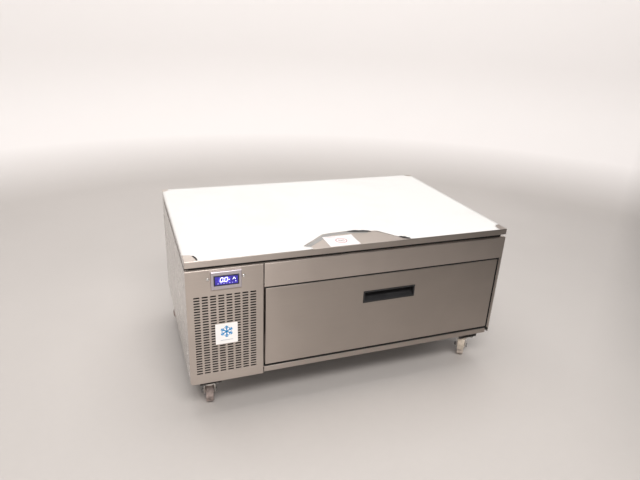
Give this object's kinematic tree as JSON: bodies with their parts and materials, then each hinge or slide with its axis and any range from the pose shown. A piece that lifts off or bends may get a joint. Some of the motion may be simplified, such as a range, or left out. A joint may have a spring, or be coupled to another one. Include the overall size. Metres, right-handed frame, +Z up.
{
  "type": "undercounter refrigerator",
  "caption": "Low stainless undercounter refrigerator on castors, with a slotted engine bay and controller on the left and one wide insulated drawer.",
  "frame": {"origin": "on the floor, under the middle of the cabinet", "axes": "+X to the right as seen from the front, +Y to the back, +Z up; the drawer opens towards -Y"},
  "size_m": [1.1048, 0.7096, 0.5503],
  "materials": {
    "stainless": "satin",
    "galvanised_steel": "matte",
    "zinc_steel": "satin",
    "screw_steel": "satin",
    "protective_film": "satin",
    "black_board": "matte",
    "plywood": "matte",
    "badge_white": "gloss",
    "controller_plastic": "satin",
    "display": "gloss",
    "white_plastic": "satin",
    "foam": "matte",
    "aluminium_fins": "satin",
    "compressor_black": "satin",
    "chassis_paint": "satin",
    "black_rubber": "matte",
    "grey_rubber": "matte",
    "copper": "satin",
    "black_plastic": "satin",
    "wheel_plastic": "satin",
    "tyre_rubber": "matte"
  },
  "bodies": {
    "cabinet": {"worktop_skin": "stainless", "worktop_core": "plywood", "worktop_film": "protective_film", "worktop_spacer": "black_board", "side_panel_left": "stainless", "side_panel_right": "stainless", "rear_panel": "galvanised_steel", "base_pan": "galvanised_steel", "roof_panel": "galvanised_steel", "engine_partition": "galvanised_steel", "fascia_panel": "stainless", "drawer_surround": "stainless", "engine_cover": "stainless", "cover_badge": "badge_white", "controller_bezel": "stainless", "controller_body": "controller_plastic", "controller_display": "display", "panel_screws": "screw_steel", "chassis_rails": "chassis_paint", "castor_plates": "zinc_steel", "castor_bolts": "screw_steel", "lid_shell": "white_plastic", "lid_foam": "foam", "evaporator_coil": "aluminium_fins", "evaporator_shroud": "white_plastic", "condenser_coil": "aluminium_fins", "condenser_shroud": "galvanised_steel", "condenser_fan_motor": "compressor_black", "compressor": "compressor_black", "compressor_mounts": "black_rubber", "filter_drier": "copper", "refrigerant_pipes": "copper", "condensate_tray": "white_plastic", "mains_inlet": "black_plastic", "cabinet_runners": "zinc_steel"},
    "drawer": {"drawer_front": "stainless", "handle_recess": "black_plastic", "drawer_frame": "galvanised_steel", "container_shell": "white_plastic", "container_foam": "foam", "container_liner": "white_plastic", "container_gasket": "grey_rubber", "drawer_runners": "zinc_steel"},
    "runner_middle": {"middle_runners": "zinc_steel"},
    "condenser_fan": {"condenser_fan": "black_plastic"},
    "evaporator_fan": {"evaporator_fan": "black_plastic"},
    "castor_front_left": {"castor_fork_front_left": "zinc_steel"},
    "wheel_front_left": {"castor_wheel_front_left": "wheel_plastic", "castor_tyre_front_left": "tyre_rubber"},
    "pedal_front_left": {"brake_pedal_front_left": "zinc_steel"},
    "castor_front_right": {"castor_fork_front_right": "zinc_steel"},
    "wheel_front_right": {"castor_wheel_front_right": "wheel_plastic", "castor_tyre_front_right": "tyre_rubber"},
    "pedal_front_right": {"brake_pedal_front_right": "zinc_steel"},
    "castor_rear_left": {"castor_fork_rear_left": "zinc_steel"},
    "wheel_rear_left": {"castor_wheel_rear_left": "wheel_plastic", "castor_tyre_rear_left": "tyre_rubber"},
    "castor_rear_right": {"castor_fork_rear_right": "zinc_steel"},
    "wheel_rear_right": {"castor_wheel_rear_right": "wheel_plastic", "castor_tyre_rear_right": "tyre_rubber"}
  },
  "joints": [
    {"name": "drawer_slide", "type": "slide", "parent": "cabinet", "child": "drawer", "axis": [0, -1, 0], "range_m": [0, 0.56]},
    {"name": "runner_middle_slide", "type": "slide", "parent": "cabinet", "child": "runner_middle", "axis": [0, -1, 0], "range_m": [0, 0.28]},
    {"name": "condenser_fan_spin", "type": "hinge", "parent": "cabinet", "child": "condenser_fan", "pos_m": [-0.433, -0.238, 0.275], "axis": [0, 1, 0], "continuous": true},
    {"name": "evaporator_fan_spin", "type": "hinge", "parent": "cabinet", "child": "evaporator_fan", "pos_m": [0.31, 0, 0.454], "axis": [0, 0, 1], "continuous": true},
    {"name": "castor_swivel_front_left", "type": "hinge", "parent": "cabinet", "child": "castor_front_left", "pos_m": [-0.485, -0.29, 0.09], "axis": [0, 0, 1], "continuous": true},
    {"name": "wheel_spin_front_left", "type": "hinge", "parent": "castor_front_left", "child": "wheel_front_left", "pos_m": [-0.48166, -0.26623, 0.0375], "axis": [-0.9903, 0.1392, 0], "continuous": true},
    {"name": "brake_front_left", "type": "hinge", "parent": "castor_front_left", "child": "pedal_front_left", "pos_m": [-0.47971, -0.25237, 0.079], "axis": [-0.9903, 0.1392, 0], "range_deg": [0, 18]},
    {"name": "castor_swivel_front_right", "type": "hinge", "parent": "cabinet", "child": "castor_front_right", "pos_m": [0.485, -0.29, 0.09], "axis": [0, 0, 1], "continuous": true},
    {"name": "wheel_spin_front_right", "type": "hinge", "parent": "castor_front_right", "child": "wheel_front_right", "pos_m": [0.5001, -0.27135, 0.0375], "axis": [-0.7771, 0.6293, 0], "continuous": true},
    {"name": "brake_front_right", "type": "hinge", "parent": "castor_front_right", "child": "pedal_front_right", "pos_m": [0.50891, -0.26047, 0.079], "axis": [-0.7771, 0.6293, 0], "range_deg": [0, 18]},
    {"name": "castor_swivel_rear_left", "type": "hinge", "parent": "cabinet", "child": "castor_rear_left", "pos_m": [-0.485, 0.29, 0.09], "axis": [0, 0, 1], "continuous": true},
    {"name": "wheel_spin_rear_left", "type": "hinge", "parent": "castor_rear_left", "child": "wheel_rear_left", "pos_m": [-0.50675, 0.27986, 0.0375], "axis": [0.4226, -0.9063, 0], "continuous": true},
    {"name": "castor_swivel_rear_right", "type": "hinge", "parent": "cabinet", "child": "castor_rear_right", "pos_m": [0.485, 0.29, 0.09], "axis": [0, 0, 1], "continuous": true},
    {"name": "wheel_spin_rear_right", "type": "hinge", "parent": "castor_rear_right", "child": "wheel_rear_right", "pos_m": [0.46245, 0.29821, 0.0375], "axis": [-0.342, -0.9397, 0], "continuous": true}
  ],
  "couplings": [
    {"joint": "runner_middle_slide", "follows": "drawer_slide", "ratio": 0.5}
  ]
}
